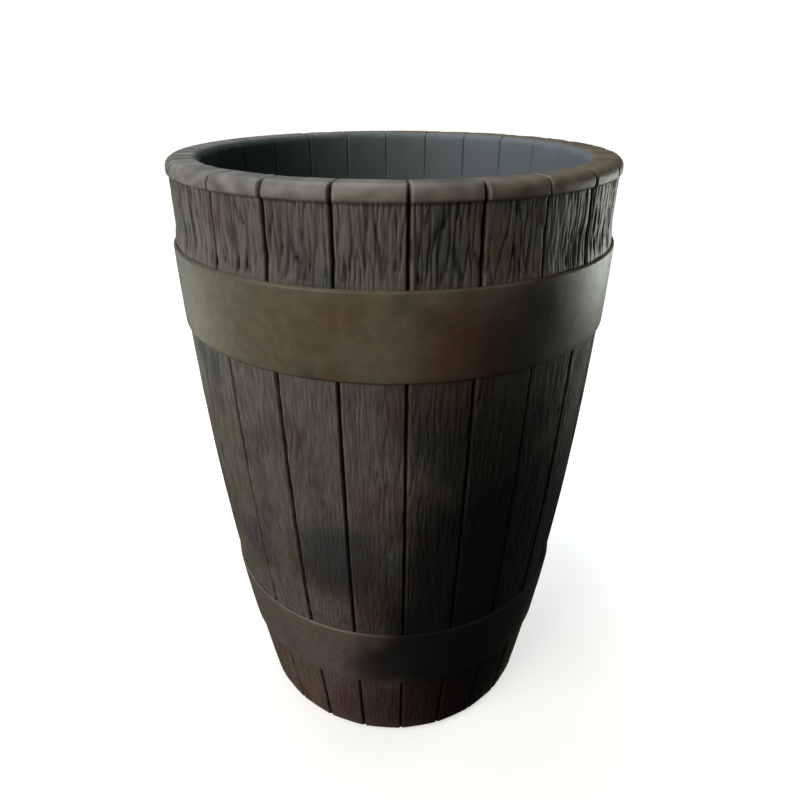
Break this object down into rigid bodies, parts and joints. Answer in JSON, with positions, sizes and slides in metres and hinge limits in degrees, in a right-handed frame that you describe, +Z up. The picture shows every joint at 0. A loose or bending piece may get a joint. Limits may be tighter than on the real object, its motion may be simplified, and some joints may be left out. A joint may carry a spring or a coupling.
{
  "type": "planter",
  "caption": "Tall conical tub planter: bevelled wooden staves held by two wide bands, with a jointed bottom head that has drain holes.",
  "frame": {"origin": "centre of the foot, on the ground", "axes": "+Z up the tub's axis; one stave seam faces -Y, and the head's boards run along X"},
  "size_m": [0.425, 0.425, 0.62],
  "materials": {
    "stave_wood": "dark stained and oiled, satin, with raised grain",
    "band": "smooth olive-brown paint, satin",
    "head_wood": "stained, matt"
  },
  "bodies": {
    "root": {"stave_01": "stave_wood", "stave_02": "stave_wood", "stave_03": "stave_wood", "stave_04": "stave_wood", "stave_05": "stave_wood", "stave_06": "stave_wood", "stave_07": "stave_wood", "stave_08": "stave_wood", "stave_09": "stave_wood", "stave_10": "stave_wood", "stave_11": "stave_wood", "stave_12": "stave_wood", "stave_13": "stave_wood", "stave_14": "stave_wood", "stave_15": "stave_wood", "stave_16": "stave_wood", "stave_17": "stave_wood", "stave_18": "stave_wood", "stave_19": "stave_wood", "stave_20": "stave_wood", "stave_21": "stave_wood", "stave_22": "stave_wood", "stave_23": "stave_wood", "stave_24": "stave_wood", "upper_band": "band", "lower_band": "band", "head_board_1": "head_wood", "head_board_2": "head_wood", "head_board_3": "head_wood", "head_board_4": "head_wood"}
  },
  "joints": []
}
